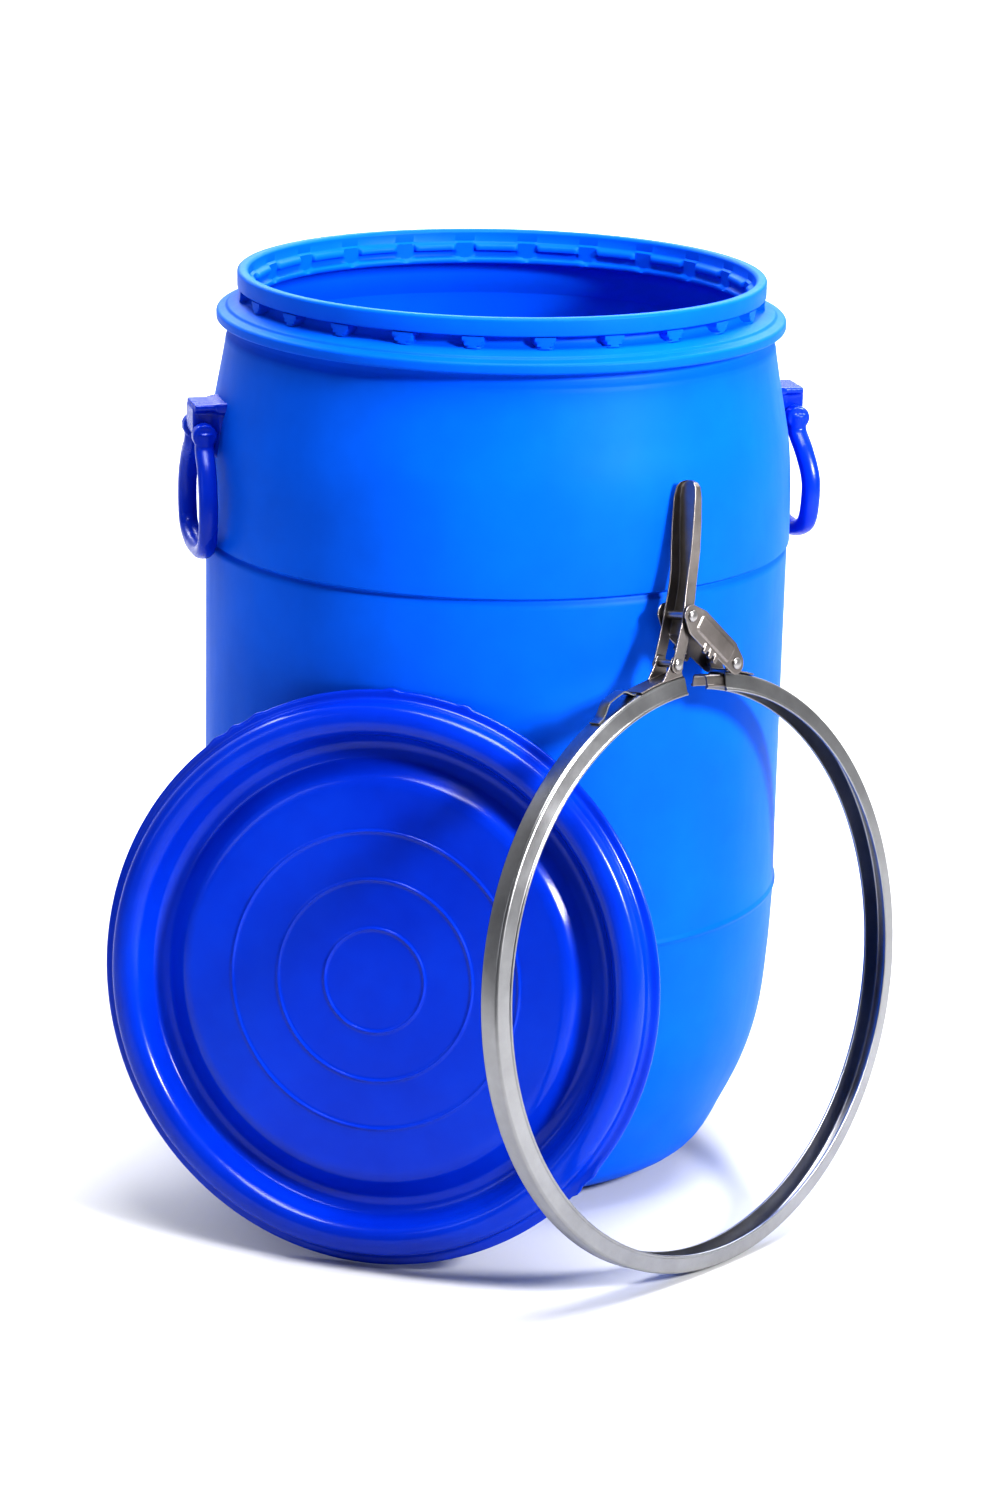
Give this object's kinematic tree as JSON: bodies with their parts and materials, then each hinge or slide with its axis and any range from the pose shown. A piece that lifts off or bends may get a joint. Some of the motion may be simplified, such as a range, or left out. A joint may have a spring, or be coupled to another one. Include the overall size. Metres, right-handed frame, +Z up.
{
  "type": "open head drum with lid and lever ring",
  "caption": "Blow moulded plastic open head drum with two swing handles, its dished lid and its lever-lock closing ring leaning open against the front.",
  "frame": {"origin": "centre of the drum's base on the floor", "axes": "+Z up along the drum's axis; the lid and the closing ring lean against the -Y side"},
  "size_m": [0.5355, 0.568, 0.624],
  "materials": {
    "drum_blue": "satin blow moulded polyethylene",
    "lid_blue": "gloss moulded polyethylene",
    "seal_rubber": "matte foam rubber",
    "zinc_band": "galvanised sheet",
    "zinc_lever": "dull galvanised sheet",
    "zinc_rivet": "bright zinc plate"
  },
  "bodies": {
    "drum": {"drum_body": "drum_blue"},
    "handle_left": {"handle_left": "drum_blue"},
    "handle_right": {"handle_right": "drum_blue"},
    "lid": {"lid": "lid_blue", "lid_gasket": "seal_rubber"},
    "ring_left": {"ring_band_left": "zinc_band", "lever_bracket": "zinc_lever", "seal_loop": "zinc_band", "lever_rivet": "zinc_rivet"},
    "ring_right": {"ring_band_right": "zinc_band", "link_bracket": "zinc_lever", "gap_bridge": "zinc_lever"},
    "lever": {"lever": "zinc_lever", "link_rivet": "zinc_rivet"},
    "link": {"toggle_link": "zinc_lever", "end_rivet_front": "zinc_rivet", "end_rivet_back": "zinc_rivet"}
  },
  "joints": [
    {"name": "handle_left_swing", "type": "hinge", "parent": "drum", "child": "handle_left", "pos_m": [-0.20188, -0.05409, 0.52], "axis": [-0.2588, 0.9659, 0], "range_deg": [0, 120]},
    {"name": "handle_right_swing", "type": "hinge", "parent": "drum", "child": "handle_right", "pos_m": [0.20188, 0.05409, 0.52], "axis": [0.2588, -0.9659, 0], "range_deg": [0, 120]},
    {"name": "lid_slide", "type": "slide", "parent": "drum", "child": "lid", "axis": [-0.9283, 0.3099, 0.2055], "range_m": [0, 0.5]},
    {"name": "ring_slide", "type": "slide", "parent": "drum", "child": "ring_left", "axis": [0.7249, -0.676, 0.1323], "range_m": [0, 0.5]},
    {"name": "ring_flex", "type": "hinge", "parent": "ring_left", "child": "ring_right", "pos_m": [0.15721, -0.23248, 0.0114], "axis": [0.7249, -0.676, 0.1323], "range_deg": [0, 4.57]},
    {"name": "lever_swing", "type": "hinge", "parent": "ring_left", "child": "lever", "pos_m": [0.11348, -0.20251, 0.40432], "axis": [0.7249, -0.676, 0.1323], "range_deg": [0, 109.9]},
    {"name": "link_swing", "type": "hinge", "parent": "lever", "child": "link", "pos_m": [0.1196, -0.19017, 0.43386], "axis": [0.7249, -0.676, 0.1323], "range_deg": [-74.9, 0]}
  ],
  "couplings": [
    {"joint": "ring_flex", "follows": "lever_swing", "ratio": 0.041578},
    {"joint": "link_swing", "follows": "lever_swing", "ratio": -0.6815}
  ]
}
